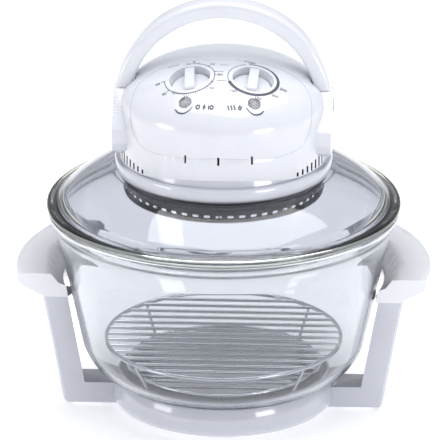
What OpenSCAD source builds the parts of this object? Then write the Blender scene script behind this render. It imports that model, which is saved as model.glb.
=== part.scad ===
// Halogen convection oven: a glass bowl on a two-armed stand, closed by a glass lid
// that carries the motor head with its folding handle and two dials.
// Origin: centre of the footprint on the table. +Z up, the dials face -Y. Millimetres.

/* [Stand] */
// Widest radius of the base ring
ring_r = 104; // [103:0.5:106]
// Height of the base ring's lip above the table
ring_lip_z = 31.5; // [31:0.1:31.8]
// Thickness of the rubber feet
foot_h = 2.5; // [2:0.1:3]
// Depth of the arms, front to back
arm_depth = 34; // [30:1:38]
// Outward lean of the arms, in degrees
arm_lean = 10.6; // [9.5:0.1:11]
// Outer radius of the grips
grip_r = 194; // [190:0.5:198]
// Front end of the grips, ahead of the centre line
grip_front = 38; // [34:1:42]
// Rear end of the grips, behind the centre line
grip_back = 106; // [90:1:108]

/* [Bowl] */
// Height of the bowl's underside above the table
bowl_z = 30; // [29:0.5:31]
// Thickness of the bowl's glass
bowl_wall = 4.5; // [4:0.1:5]
// Height of the plane where the lid rests on the bowl
rim_z = 196; // [195.5:0.1:196.5]
// Outer radius of the lid's rim
rim_r = 165; // [164.5:0.1:165.5]

/* [Head] */
// Radius of the head's cover
head_r = 98; // [97.5:0.1:98.5]
// Height of the top of the cover above the table
head_top_z = 347; // [345:0.5:349]
// Wall thickness of the plastic covers
cover_wall = 2.5; // [2.2:0.1:2.8]
// Half the distance between the flat ear faces
ear_x = 102; // [101.5:0.1:103]
// Height of the handle's pivot above the table
pivot_z = 299; // [298:0.5:300]
// Inner radius of the handle's arch
arch_in_r = 86.5; // [86:0.1:87.5]
// Outer radius of the handle's arch
arch_out_r = 102; // [101:0.5:103]
// Width of the handle, front to back
arch_w = 24; // [22:0.5:25]
// Angle through which the handle folds back, in degrees
fold_max = 75; // [60:1:75]

/* [Dials] */
// Sideways distance of each dial from the middle
dial_x = 29.6; // [28:0.1:31]
// Distance of the dials ahead of the middle
dial_y = 43; // [42:0.1:44]
// Forward tilt of the dials, in degrees
dial_tilt = 12; // [10:0.5:14]
// Outward tilt of the dials, in degrees
dial_splay = 10; // [8:0.5:12]
// Inner radius of the wells that the knobs sit in
well_r = 19.3; // [19:0.1:20]
// Depth of the wells
well_depth = 13; // [12:0.5:14]

/* [Hidden] */
$fn = 96;
small_fn = 32;
eps = 0.01;
gap = 0.35;

// Points of a circular arc about (cx, cy), from angle a to angle b in n steps
function arc(cx, cy, r, a, b, n) =
    [for (i = [0:n]) let(t = a + (b - a) * i / n) [cx + r * cos(t), cy + r * sin(t)]];

// ---------- shared outlines ----------

// Base ring: the lower and the upper arc of the outer face meet at the widest radius
ring_mid_z = 14;
ring_low_r = 12;
ring_high_r = 40;
ring_top_a = asin((ring_lip_z - ring_mid_z) / ring_high_r);
function ring_face() = concat(
    arc(ring_r - ring_low_r, ring_mid_z, ring_low_r, -80, 0, 10),
    arc(ring_r - ring_high_r, ring_mid_z, ring_high_r, 3, ring_top_a, 7));

// Bowl: a flat floor, a corner arc, a wall that leans out to the neck, and a rim
bowl_corner_r = 50;
bowl_floor_r = 84.3;
bowl_lean = 12;
bowl_neck_z = 166;
bowl_corner_z = bowl_z + bowl_corner_r;
function bowl_neck(wall) = let(r = bowl_corner_r - wall, drop = r * sin(bowl_lean))
    [bowl_floor_r + r * cos(bowl_lean) + (bowl_neck_z - bowl_corner_z + drop) * tan(bowl_lean),
     bowl_neck_z];

// Lid: a dome arc from the rim up to the seat under the head
lid_seat_z = rim_z + 40.5;
lid_seat_r = 101;
lid_hole_r = 93;
lid_wall = 4.5;
dome_r = 108.9;
dome_hi_a = 76;
dome_lo_a = 44;
dome_c = [lid_seat_r - dome_r * cos(dome_hi_a), lid_seat_z - dome_r * sin(dome_hi_a)];

// Head: a straight wall up to shoulder_z, then a quarter ellipse
shoulder_z = 300;
cover_z = 251;
function head_outline(inset, bottom) = let(a = head_r - inset, b = head_top_z - shoulder_z - inset)
    concat([[0, bottom], [a, bottom]], [for (t = [0:5:90]) [a * cos(t), shoulder_z + b * sin(t)]]);

module head_solid(inset, bottom) rotate_extrude() polygon(head_outline(inset, bottom));

// Control panel: an oval outline seen along a direction tilted to the front
panel_dir = 50;
panel_half_w = 84;
panel_half_h = 53.2;
panel_mid = 204.7;
panel_power = 2.5;
panel_gap = 0.15;
function signed_pow(v, p) = sign(v) * pow(abs(v), p);
function panel_outline(grow) = [for (t = [0:6:354])
    [(panel_half_w + grow) * signed_pow(cos(t), 2 / panel_power),
     panel_mid + (panel_half_h + grow) * signed_pow(sin(t), 2 / panel_power)]];

module panel_prism(grow) rotate([panel_dir, 0, 0]) translate([0, 0, 170])
    linear_extrude(200) polygon(panel_outline(grow));

// Places the children in the frame of a dial: side is -1 for the timer, 1 for the thermostat
function dome_z(x, y) = shoulder_z + (head_top_z - shoulder_z)
    * sqrt(1 - (x * x + y * y) / (head_r * head_r));
dial_z = dome_z(dial_x, dial_y);
module at_dial(side) translate([side * dial_x, -dial_y, dial_z])
    rotate([dial_tilt, side * dial_splay, 0]) children();

// Places the children at an indicator lens
lens_x = 32;
lens_y = 74.5;
lens_r = 6;
lens_tilt = 33;
module at_lens(side) translate([side * lens_x, -lens_y, dome_z(lens_x, lens_y)])
    rotate([lens_tilt, side * 14, 0]) children();

// A round screw with a pan head below and its shank pointing up from the head
module screw(shank_r, shank_l, cap_r, cap_h) {
    cylinder(r = shank_r, h = shank_l, $fn = small_fn);
    translate([0, 0, -cap_h]) difference() {
        cylinder(r = cap_r, h = cap_h, $fn = small_fn);
        for (a = [0, 90]) rotate(a) translate([-cap_r * 0.6, -0.4, -eps])
            cube([cap_r * 1.2, 0.8, 0.9]);
    }
}

// A straight round bar between two points
module rod(a, b, r) {
    d = b - a;
    translate(a) rotate([0, acos(d[2] / norm(d)), atan2(d[1], d[0])])
        cylinder(r = r, h = norm(d), $fn = 24);
}

// A ring of round wire in a level plane
module wire_ring(radius, z, r) translate([0, 0, z])
    rotate_extrude() translate([radius, 0]) circle(r = r, $fn = 24);

module both_sides() { children(); mirror([1, 0, 0]) children(); }

// ---------- stand ----------

ring_wall = 2.6;
shelf_z = bowl_z - 3.5;
ring_in_r = 70;
lip_in_r = 97.4;

module ring_envelope() rotate_extrude() polygon(concat([[0, foot_h - 0.5]], ring_face(), [[0, ring_lip_z]]));

boss_ring_r = 82;
module base_ring() color("white") difference() {
    union() {
        rotate_extrude() polygon(concat(ring_face(), [[lip_in_r, ring_lip_z], [lip_in_r, shelf_z],
            [ring_in_r, shelf_z], [ring_in_r, 5], [ring_in_r + ring_wall, 5],
            [ring_in_r + ring_wall, shelf_z - ring_wall], [lip_in_r, shelf_z - ring_wall]],
            arc(ring_r - ring_low_r, ring_mid_z, ring_low_r - ring_wall, 0, -80, 8)));
        for (a = [45:90:315]) rotate(a) translate([boss_ring_r, 0, 5])
            cylinder(r = 4.5, h = shelf_z - 5 - eps, $fn = small_fn);
    }
    for (a = [45:90:315]) rotate(a) translate([boss_ring_r, 0, 0])
        cylinder(r = 1.6, h = 20, $fn = small_fn);
}

module base_plate() color("white") difference() {
    rotate_extrude() polygon([[ring_in_r, foot_h], [93.2, foot_h], [93.2, 5], [ring_in_r, 5]]);
    for (a = [45:90:315]) rotate(a) translate([boss_ring_r, 0, 0]) cylinder(r = 1.9, h = 10, $fn = small_fn);
}

// Four curved pads under the base plate and the base ring's edge
module rubber_feet() color("dimgray") for (a = [0:90:270]) rotate(a) intersection() {
    rotate_extrude() polygon([[72, 0], [88, 0], [88, foot_h], [72, foot_h]]);
    translate([60, -16, -1]) cube([40, 32, 10]);
}

module base_screws() color("silver") for (a = [45:90:315]) rotate(a)
    translate([boss_ring_r, 0, foot_h - eps]) screw(1.55, 14, 3.4, 1.8);

module bowl_pads() color("gainsboro") for (a = [0:90:270]) rotate(a + 45)
    translate([76, 0, shelf_z]) cylinder(r = 5, h = bowl_z - shelf_z, $fn = small_fn);

// Arm: a level bar out of the base ring and an upright that leans outward
bar_lo_z = 3.6;
bar_hi_z = 23.6;
arm_foot_x = 149.3;
arm_top_z = 117;
arm_in_x = 129.3;
arm_in_slope = 0.182;
arm_taper = 5.4;
arm_in_a = atan(arm_in_slope);
arm_taper_a = atan(arm_taper * cos(arm_in_a) / arm_depth);
arm_wall = 2.6;
arm_bend_z = bar_lo_z + 4.6;
arm_pocket_z = 110;
function arm_out(z) = arm_foot_x + (z - arm_bend_z) * tan(arm_lean);
function arm_in(z) = arm_in_x + (z - bar_hi_z) * arm_in_slope;
function arm_outline() = [[90, bar_lo_z], [arm_foot_x - 4.6, bar_lo_z],
    [arm_foot_x - 2, bar_lo_z + 0.7], [arm_foot_x - 0.7, bar_lo_z + 2], [arm_foot_x, arm_bend_z],
    [arm_out(arm_top_z), arm_top_z], [arm_in(arm_top_z), arm_top_z],
    [arm_in_x, bar_hi_z], [90, bar_hi_z]];
function arm_pocket() = let(side = arm_taper + arm_wall)
    [[108, bar_lo_z - 1], [arm_foot_x - arm_wall - 2, bar_lo_z - 1],
     [arm_out(arm_pocket_z) - arm_wall, arm_pocket_z], [arm_in(arm_pocket_z) + side, arm_pocket_z],
     [arm_in_x + side + 0.5, bar_hi_z - arm_wall], [108, bar_hi_z - arm_wall]];
bumper_z = 108;
bumper_x = arm_in(bumper_z) + arm_taper / 2;
grip_screw_y = [-9, 9];
grip_screw_x = 161;
// Turns the children square to the arm's inner face, with +X into the arm
module facing_arm() rotate([0, arm_in_a, 0]) rotate(-arm_taper_a) children();
// Places the children on the arm's inner face, with +Z into the arm
module at_bumper() translate([bumper_x, 0, bumper_z]) facing_arm() rotate([0, 90, 0]) children();

module in_arm_plane(depth) rotate([90, 0, 0]) linear_extrude(depth, center = true) children();

module arm() difference() {
    in_arm_plane(arm_depth) polygon(arm_outline());
    in_arm_plane(arm_depth - 2 * arm_wall) polygon(arm_pocket());
    ring_envelope();
    at_bumper() translate([0, 0, -1]) cylinder(r = 2.5, h = 8, $fn = small_fn);
    for (y = grip_screw_y) translate([grip_screw_x, y, 100]) cylinder(r = 2.1, h = 20, $fn = small_fn);
    // the upright narrows to the rear on its inner side
    intersection() {
        translate([arm_in_x, -arm_depth / 2, bar_hi_z]) facing_arm()
            translate([-40, -10, -20]) cube([40, 80, 140]);
        translate([100, -30, bar_hi_z]) cube([80, 60, 120]);
    }
    // chamfers along the outer front and rear edges
    for (s = [-1, 1]) translate([arm_out(0), s * arm_depth / 2, 0])
        rotate([0, arm_lean, 0]) rotate(45) translate([-1.6, -1.6, -20]) cube([3.2, 3.2, 180]);
}

module left_arm() color("white") mirror([1, 0, 0]) arm();
module right_arm() color("white") arm();

module arm_covers() color("white") both_sides()
    translate([110, -arm_depth / 2 + arm_wall + 0.2, bar_lo_z])
        cube([32, arm_depth - 2 * arm_wall - 0.4, 2]);

// A bumper: a dome against the bowl and a peg in the arm
bumper_r = 6;
module arm_bumpers() color("gray") both_sides() at_bumper() rotate_extrude($fn = 48)
    polygon(concat([[0, arm_wall], [2.4, arm_wall], [2.4, 0], [bumper_r, 0]],
        arc(0, -0.5, bumper_r - 1, 0, -90, 6)));

// Grip: part of a ring around the bowl; its section has a sloping inner edge, a flat top, a
// blunt rim and an underside that rises to the rim
grip_z = arm_top_z;
grip_top_z = 140;
function grip_section() = [[148, grip_z], [170, grip_z], [grip_r - 3, 128.3], [grip_r - 0.8, 130.3],
    [grip_r, 132.3], [grip_r, 136], [grip_r - 0.9, 138.4], [grip_r - 3, 139.7],
    [grip_r - 7, grip_top_z], [170, grip_top_z], [163.5, 139.7], [157.2, 131.3],
    [151.2, 128.8], [149.6, 127.2], [148.8, 121]];
function grip_pocket() = [[152.2, grip_z - 1], [152.2, 126], [158.4, 128.8], [164.9, 137.2],
    [grip_r - 14, 137.2], [grip_r - 7, 136.4], [grip_r - 4, 134.2],
    [grip_r - 3.7, 132.3], [grip_r - 5.5, 129.9], [167.2, 118.4], [167.2, grip_z - 1]];

module grip_zone(inset) translate([120, -grip_front + inset, 100])
    cube([90, grip_front + grip_back - 2 * inset, 60]);

grip_cover_h = 2.2;
module grip() difference() {
    intersection() {
        rotate_extrude($fn = 180) polygon(grip_section());
        grip_zone(0);
    }
    difference() {
        intersection() {
            rotate_extrude($fn = 180) polygon(grip_pocket());
            grip_zone(3);
        }
        for (y = grip_screw_y) translate([grip_screw_x, y, grip_z + grip_cover_h])
            cylinder(r = 4.5, h = 30, $fn = small_fn);
    }
    for (y = grip_screw_y) translate([grip_screw_x, y, 110]) cylinder(r = 1.6, h = 22, $fn = small_fn);
}

module left_grip() color("white") mirror([1, 0, 0]) grip();
module right_grip() color("white") grip();

module grip_covers() color("white") both_sides() difference() {
    intersection() {
        rotate_extrude($fn = 180) polygon([[152.5, grip_z], [166.9, grip_z],
            [166.9, grip_z + grip_cover_h], [152.5, grip_z + grip_cover_h]]);
        grip_zone(3.3);
    }
    for (y = grip_screw_y) translate([grip_screw_x, y, 110]) cylinder(r = 2.1, h = 20, $fn = small_fn);
}

module grip_screws() color("silver") both_sides() for (y = grip_screw_y)
    translate([grip_screw_x, y, 110]) screw(1.55, 20, 3.6, 2);

// ---------- bowl and racks ----------

module glass_bowl() color("lightsteelblue", 0.35) rotate_extrude($fn = 180) polygon(concat(
    [[0, bowl_z]], arc(bowl_floor_r, bowl_corner_z, bowl_corner_r, -90, -bowl_lean, 12),
    [bowl_neck(0), [155.5, 176], [158.6, 184], [161.5, 187.2], [163, 189.2], [163.5, 191.5],
     [163.2, 194], [161.8, rim_z - 0.4], [160.5, rim_z], [154.4, rim_z], [153, rim_z - 1],
     [152.6, rim_z - 3], [152.2, 186], [151, 176], bowl_neck(bowl_wall)],
    arc(bowl_floor_r, bowl_corner_z, bowl_corner_r - bowl_wall, -bowl_lean, -90, 12),
    [[0, bowl_z + bowl_wall]]));

// Racks: chromed wire, each a ring with a grid of bars and legs that stand on the bowl's floor
wire_r = 1.6;
floor_z = bowl_z + bowl_wall;
low_rack_r = 89;
low_rack_z = 41;
high_rack_r = 110;
high_rack_z = 67;

module rack_bars(radius, z, pitch, n) for (i = [-n:n]) let(half = sqrt(radius * radius - pow(i * pitch, 2)))
    rod([-half, i * pitch, z], [half, i * pitch, z], wire_r);

module low_rack() color("silver") {
    wire_ring(low_rack_r, low_rack_z, wire_r + 0.4);
    rack_bars(low_rack_r, low_rack_z, 14, 5);
    for (a = [30:120:270]) rotate(a) rod([low_rack_r, 0, floor_z + 0.7], [low_rack_r, 0, low_rack_z], wire_r);
}

module high_rack() color("silver") {
    wire_ring(high_rack_r, high_rack_z, wire_r + 0.4);
    rack_bars(high_rack_r, high_rack_z, 15, 6);
}

// Legs welded under the high rack's ring
module high_rack_legs() color("silver") for (a = [45:90:315]) rotate(a)
    rod([96, 0, floor_z + 3], [high_rack_r - 0.9, 0, high_rack_z - 2], wire_r);

// ---------- lid ----------

module glass_lid() color("slategray", 0.35) rotate_extrude($fn = 180) polygon(concat(
    [[lid_hole_r, lid_seat_z - lid_wall], [lid_hole_r, lid_seat_z]],
    arc(dome_c[0], dome_c[1], dome_r, dome_hi_a, dome_lo_a, 12),
    [[155.5, 204.2], [158, 203.2]], arc(rim_r - 3.6, rim_z + 3.6, 3.6, 80, -60, 8),
    [[161, rim_z], [151.8, rim_z], [151.3, rim_z - 4.5], [148.4, rim_z - 4.8], [147.4, rim_z + 2]],
    [for (a = [dome_lo_a + 3:4:dome_hi_a - 2]) dome_c + (dome_r - lid_wall) * [cos(a), sin(a)]],
    [[lid_seat_r - 2, lid_seat_z - lid_wall]]));

gasket_h = 1;
module lid_gasket() color("gray") {
    rotate_extrude() polygon([[lid_hole_r, lid_seat_z], [99.6, lid_seat_z],
        [99.6, lid_seat_z + gasket_h], [lid_hole_r, lid_seat_z + gasket_h]]);
    rotate_extrude() polygon([[lid_hole_r, lid_seat_z - lid_wall - gasket_h],
        [97, lid_seat_z - lid_wall - gasket_h], [97, lid_seat_z - lid_wall],
        [lid_hole_r, lid_seat_z - lid_wall]]);
}

// ---------- head: housings ----------

housing_z = lid_seat_z + gasket_h;
flange_top_z = 249;
plate_z = housing_z + 2.5;
plate_top_z = plate_z + 3;
head_boss_r = 87.6;
stub_r = 44;
head_boss_a = [35, 145, 215, 325];
module lower_housing() color("white") difference() {
    union() {
        rotate_extrude() polygon([[14, plate_z], [90.8, plate_z], [92.4, housing_z], [99.6, housing_z],
            [100.7, housing_z + 0.8], [101, housing_z + 2], [101, flange_top_z - 1.6],
            [100.4, flange_top_z - 0.4],
            [99.4, flange_top_z], [95.2, flange_top_z + 0.6], [95.2, 263], [92.8, 263],
            [92.8, plate_top_z], [14, plate_top_z]]);
        // stubs that locate the motor bracket
        for (a = [45:90:315]) rotate(a) translate([stub_r, 0, plate_z])
            cylinder(r = 4, h = 9, $fn = small_fn);
    }
    for (a = head_boss_a) rotate(a) translate([head_boss_r, 0, 230])
        cylinder(r = 1.9, h = 30, $fn = small_fn);
    for (a = [45:90:315]) rotate(a) translate([stub_r, 0, plate_z + 1])
        cylinder(r = 1.4, h = 20, $fn = small_fn);
    translate([probe_x, 0, plate_z - 1]) cylinder(r = 1.6, h = 6, $fn = small_fn);
    // the locating wall stops short of the vents
    both_sides() translate([66, -72, flange_top_z + 3]) cube([40, 144, 20]);
    // outlets for the cooling air
    for (a = [0:20:340]) rotate(a) translate([60, -2, plate_z - 1]) cube([16, 4, 6]);
}

// Sweep of the handle in the side view, for a clearance c around it
sweep_hub_r = arch_w / 2 + 4.5;
function sweep_outline(c) = let(h = arch_w / 2 + c,
        low = [h * cos(fold_max), pivot_z - h * sin(fold_max)])
    [[-h, pivot_z], low, low + 120 * [sin(fold_max), cos(fold_max)], [130, 420], [-h, 420]];

module side_prism(x0, x1) translate([x0, 0, 0]) rotate([90, 0, 90]) linear_extrude(x1 - x0) children();

// Room for the handle's full section, grown by w: outside a sphere just inside the arch
module handle_room(w) difference() {
    side_prism(-120, 120) polygon(sweep_outline(1 + w));
    translate([0, 0, pivot_z]) sphere(r = arch_in_r - 0.5 - w, $fn = 180);
    translate([-130, 0, pivot_z]) rotate([0, 90, 0]) cylinder(r = sweep_hub_r - w, h = 260, $fn = 96);
}

// Hollow of the head, which stays a wall away from the handle's room
module head_hollow() difference() {
    head_solid(cover_wall, cover_z - 1);
    handle_room(cover_wall);
}

// Slot in each ear for the handle's lug and its cam
lug_x = [89.4, 97.4];
plunger_x = 93.4;
cam_r = 8.6;
cam_off = 2;
module lug_slot() side_prism(lug_x[0] - 0.5, lug_x[1] + 0.5) {
    polygon(sweep_outline(-1));
    translate([0, pivot_z]) circle(r = cam_r + cam_off + 1, $fn = 48);
}

ear_z = 261;
function ear_outline(c) = [[-13 + c, 316 - c], [-45 + c, 287 - c], [-46 + c, 274], [-43 + c, 266],
    [-36 + c, ear_z + c], [36 - c, ear_z + c], [43 - c, 266], [46 - c, 274],
    [45 - c, 300 - c], [17 - c, 316 - c]];
ear_round_r = 112;
module ear(c) intersection() {
    side_prism(70, ear_x - c) polygon(ear_outline(c));
    translate([0, 0, 288]) sphere(r = ear_round_r - c, $fn = 180);
}

vent_a0 = 47.2;
vent_step = 4;
vent_w = 2.4;
vent_n = 7;
vent_z = 252;
arch_rise = 7;
arch_half = 70;
front_arch_r = (arch_half * arch_half + arch_rise * arch_rise) / (2 * arch_rise);
slot_a = 18.4;
boss_tube_r = 4.4;

module cover_solid() {
    head_solid(0, cover_z);
    both_sides() ear(0);
}

// Vents beside the ears, taller towards them
module side_vents() for (i = [0:vent_n - 1]) rotate(-90 + vent_a0 + vent_step * i)
    translate([80, -vent_w / 2, vent_z]) cube([40, vent_w, 4.2 + 1.2 * i]);

// Dark screens behind the vents, standing on the lower housing's cut wall
module vent_screens() color("black") both_sides() rotate(vent_a0 - 91.5)
    rotate_extrude(angle = vent_step * (vent_n - 1) + 4)
        translate([93, vent_z + 0.05]) square([2, 11.4]);

module top_cover() color("white") difference() {
    union() {
        difference() {
            cover_solid();
            head_hollow();
            panel_prism(panel_gap);
            both_sides() side_vents();
        }
        // ears: outer wall, inner wall and hub around the pivot
        both_sides() difference() {
            ear(0);
            head_hollow();
            intersection() {
                ear(cover_wall);
                translate([60, -60, 240]) cube([80, 120, 43]);
            }
        }
        both_sides() intersection() {
            translate([80, 0, pivot_z]) rotate([0, 90, 0]) cylinder(r = 15, h = ear_x - 80, $fn = 48);
            cover_solid();
        }
        // bosses for the housing screws, tied to the wall by ribs
        for (a = head_boss_a) rotate(a) {
            translate([head_boss_r, 0, plate_top_z]) cylinder(r = boss_tube_r, h = 41, $fn = small_fn);
            translate([head_boss_r, -1.5, 264]) cube([9, 3, 8]);
        }
    }
    handle_room(0);
    both_sides() {
        lug_slot();
        translate([80, 0, pivot_z]) rotate([0, 90, 0]) cylinder(r = 4, h = 40, $fn = small_fn);
        // the switch plunger's guide, below the lug
        translate([plunger_x, 0, 280]) cylinder(r = 2.2, h = 18, $fn = small_fn);
        // room for the safety switch in the wall
        translate([switch_x - gap, -switch_w / 2 - gap, switch_z - gap])
            cube([switch_d, switch_w, switch_h] + 2 * gap * [1, 1, 1]);
    }
    for (a = head_boss_a) rotate(a) translate([head_boss_r, 0, 235])
        cylinder(r = 1.5, h = 42, $fn = small_fn);
    for (a = [-slot_a, 0, slot_a]) rotate(a) translate([-1, -120, 273]) cube([2, 40, 8]);
    // the lower edge arches up across the front
    intersection() {
        translate([0, 0, cover_z + arch_rise - front_arch_r]) rotate([90, 0, 0])
            cylinder(r = front_arch_r, h = 120, $fn = 360);
        translate([-120, -130, 200]) cube([240, 130, 100]);
    }
    // hole for the cord gland
    translate([0, 80, gland_z]) rotate([-90, 0, 0]) cylinder(r = gland_r, h = 40, $fn = 48);
}

panel_wall = 2.5;
well_floor = 2.5;
module control_panel() color("white") difference() {
    union() {
        intersection() {
            difference() {
                head_solid(0, cover_z);
                head_solid(panel_wall, cover_z - 1);
            }
            panel_prism(0);
        }
        // tubes around the wells, cut back under the top cover
        for (s = [-1, 1]) intersection() {
            at_dial(s) translate([0, 0, -well_depth - well_floor])
                cylinder(r = well_r + 2.4, h = well_depth + well_floor + 12);
            union() {
                intersection() {
                    head_solid(0, cover_z);
                    panel_prism(0);
                }
                head_solid(cover_wall + gap, cover_z);
            }
        }
        for (s = [-1, 1]) at_lens(s) translate([0, 0, -8]) cylinder(r = lens_r + 2, h = 7, $fn = 48);
    }
    for (s = [-1, 1]) {
        at_dial(s) translate([0, 0, -well_depth]) cylinder(r = well_r, h = 40);
        at_dial(s) translate([0, 0, -well_depth - 10]) cylinder(r = 4.2, h = 40, $fn = small_fn);
        at_lens(s) translate([0, 0, -20]) cylinder(r = lens_r, h = 40, $fn = 48);
    }
    for (a = [-slot_a, 0, slot_a]) rotate(a) translate([-1, -120, 273]) cube([2, 40, 8]);
}

// Lens: a low dome over a barrel that fits its hole
module lens() {
    translate([0, 0, -6]) cylinder(r = lens_r - 0.02, h = 6.4, $fn = 48);
    translate([0, 0, 0.4]) rotate_extrude($fn = 48)
        polygon(concat([[0, 0]], [for (t = [0:15:90]) [(lens_r - 0.02) * cos(t), 2 * sin(t)]]));
}
module power_lens() color("gainsboro", 0.8) at_lens(-1) lens();
module heat_lens() color("gainsboro", 0.8) at_lens(1) lens();

module indicator_lamps() color("orange") for (s = [-1, 1]) at_lens(s) translate([0, 0, -20])
    rotate_extrude($fn = small_fn)
        polygon(concat([[0, 0], [2.6, 0], [2.6, 10]], arc(0, 10.4, 2.6, 0, 90, 5)));

// ---------- head: controls ----------

shaft_r = 3;
unit_top = -well_depth - well_floor;
unit_bottom = unit_top - 20;
module timer_unit() color("silver") at_dial(-1) difference() {
    union() {
        translate([0, 0, unit_bottom]) cylinder(r = 19, h = 20 - 0.3, $fn = 64);
        translate([-24, -5, unit_bottom + 14]) cube([48, 10, 1.5]);
        translate([-4, 17, unit_bottom + 2]) cube([8, 6, 1]);
    }
    translate([0, 0, unit_bottom + 2]) cylinder(r = shaft_r + 0.05, h = 40, $fn = small_fn);
}

module timer_bell() color("silver") at_dial(-1) translate([0, 0, unit_bottom - 7])
    rotate_extrude($fn = 64) polygon([[0, 0], [13, 0], [15.5, 2], [16, 6.8], [15, 6.8],
        [14.6, 2.6], [12.6, 1], [2, 1], [2, 7], [0, 7]]);

module thermostat_unit() color("tan") at_dial(1) difference() {
    union() {
        translate([-15, -12, unit_bottom + 2]) cube([30, 24, 17.5]);
        translate([-19, -4, unit_top - 2]) cube([38, 8, 1.5]);
        translate([-12, -14, unit_bottom + 6]) cube([6, 2.2, 1]);
        translate([6, -14, unit_bottom + 6]) cube([6, 2.2, 1]);
    }
    translate([0, 0, unit_bottom + 4]) cylinder(r = shaft_r + 0.05, h = 40, $fn = small_fn);
}

// Probe of the thermostat: a bulb in the hot air with its capillary tube up through the plate
probe_x = 80;
module thermostat_probe() color("chocolate") {
    rod([probe_x, -16, 224], [probe_x, 16, 224], 2.4);
    rod([probe_x, 0, 225], [probe_x, 0, 262], 1);
}

// A knob: a skirted disc with a raised grip bar and a bore for the shaft's end
knob_r = 18.5;
knob_disc = 4.5;
knob_bar_w = 9;
knob_bar_h = 12.5;
module knob() translate([0, 0, -well_depth + 0.6]) difference() {
    union() {
        rotate_extrude() polygon([[0, 0], [knob_r, 0], [knob_r, knob_disc - 1.2],
            [knob_r - 1.2, knob_disc], [0, knob_disc]]);
        intersection() {
            translate([-knob_bar_w / 2, -knob_r, 0]) cube([knob_bar_w, 2 * knob_r, knob_bar_h]);
            rotate_extrude() polygon([[0, 0], [knob_r, 0], [knob_r - 0.6, knob_bar_h - 1.5],
                [knob_r - 2, knob_bar_h], [0, knob_bar_h]]);
        }
    }
    translate([0, 0, -1]) cylinder(r = shaft_r, h = 9, $fn = small_fn);
}
module timer_knob() color("white") at_dial(-1) knob();
module thermostat_knob() color("white") at_dial(1) knob();

module dial_shaft(low) translate([0, 0, low])
    cylinder(r = shaft_r, h = -well_depth + 8.6 - low, $fn = small_fn);
module timer_shaft() color("silver") at_dial(-1) dial_shaft(unit_bottom + 2.5);
module thermostat_shaft() color("silver") at_dial(1) dial_shaft(unit_bottom + 4.5);

// ---------- head: motor, fans and heater ----------

axle_r = 4;
motor_z = 270;
motor_y = 4;
module motor() color("dimgray") difference() {
    union() {
        translate([-27, -18 + motor_y, motor_z - 3]) cube([54, 36, 17]);
        translate([-11, 18 + motor_y, motor_z - 3]) cube([22, 14, 20]);
        translate([0, 0, motor_z - 3]) cylinder(r = 15, h = 21, $fn = 64);
    }
    translate([0, 0, motor_z - 10]) cylinder(r = axle_r + 0.05, h = 60, $fn = small_fn);
}

// Bracket: a plate under the motor on four legs with feet on the housing's stubs
bracket_z = motor_z - 4.5;
module motor_bracket() color("silver") difference() {
    union() {
        translate([-33, -24, bracket_z]) cube([66, 52, 1.5]);
        for (a = [45:90:315]) rotate(a) {
            translate([40, -5, plate_z + 9]) cube([1.5, 10, bracket_z - plate_z - 9 + 1.5]);
            translate([32, -5, bracket_z]) cube([9, 10, 1.5]);
            translate([40, -5, plate_z + 9]) cube([9, 10, 1.5]);
        }
    }
    translate([0, 0, bracket_z - 1]) cylinder(r = 15.5, h = 4, $fn = 64);
    for (a = [45:90:315]) rotate(a) translate([stub_r, 0, plate_z])
        cylinder(r = 1.6, h = 20, $fn = small_fn);
}

module motor_screws() color("silver") for (a = [45:90:315]) rotate(a)
    translate([stub_r, 0, plate_z + 10.5]) mirror([0, 0, 1]) screw(1.38, 8, 2.4, 1.8);

axle_z = 214.5;
module motor_shaft() color("silver") translate([0, 0, axle_z])
    cylinder(r = axle_r, h = motor_z + 22 - axle_z, $fn = 48);

// A fan: a hub with flat blades set at an angle, below or above a disc
module fan(z, hub_r, hub_h, blade_r, blade_h, n, twist) difference() {
    union() {
        translate([0, 0, z]) cylinder(r = hub_r, h = hub_h, $fn = 48);
        translate([0, 0, z + hub_h - 1]) cylinder(r = blade_r * 0.62, h = 1, $fn = 96);
        for (i = [0:n - 1]) rotate(i * 360 / n) translate([hub_r - 1, 0, z + hub_h / 2])
            rotate([twist, 0, 0]) translate([0, -0.5, -blade_h / 2]) cube([blade_r - hub_r + 1, 1, blade_h]);
    }
    translate([0, 0, z - 1]) cylinder(r = axle_r, h = hub_h + 2, $fn = 48);
}
module cooling_fan() color("gainsboro") fan(249.5, 8, 9, 36, 8, 9, 35);
module convection_fan() color("silver") fan(220.5, 9, 8, 40, 7, 8, 40);
module fan_nut() color("goldenrod") difference() {
    translate([0, 0, 216.2]) cylinder(r = 6.5, h = 4.3, $fn = 6);
    translate([0, 0, 215]) cylinder(r = axle_r, h = 8, $fn = 48);
}

shield_z = 233.4;
band_r = 90.5;
band_z = 213;
module insulation_disc() color("wheat") difference() {
    translate([0, 0, shield_z + 1.2]) cylinder(r = 84, h = plate_z - shield_z - 1.2 - 0.3);
    translate([0, 0, shield_z]) cylinder(r = 14, h = 12, $fn = 64);
    for (a = [0:20:340]) rotate(a) translate([58, -3, shield_z]) cube([20, 6, 12]);
    translate([probe_x, 0, shield_z]) cylinder(r = 2.2, h = 12, $fn = small_fn);
}

module heat_shield() color("silver") difference() {
    translate([0, 0, shield_z]) cylinder(r = band_r - 1.1, h = 1.2);
    translate([0, 0, shield_z - 1]) cylinder(r = 8, h = 4, $fn = 64);
    translate([probe_x, 0, shield_z - 1]) cylinder(r = 2.2, h = 12, $fn = small_fn);
}

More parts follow.
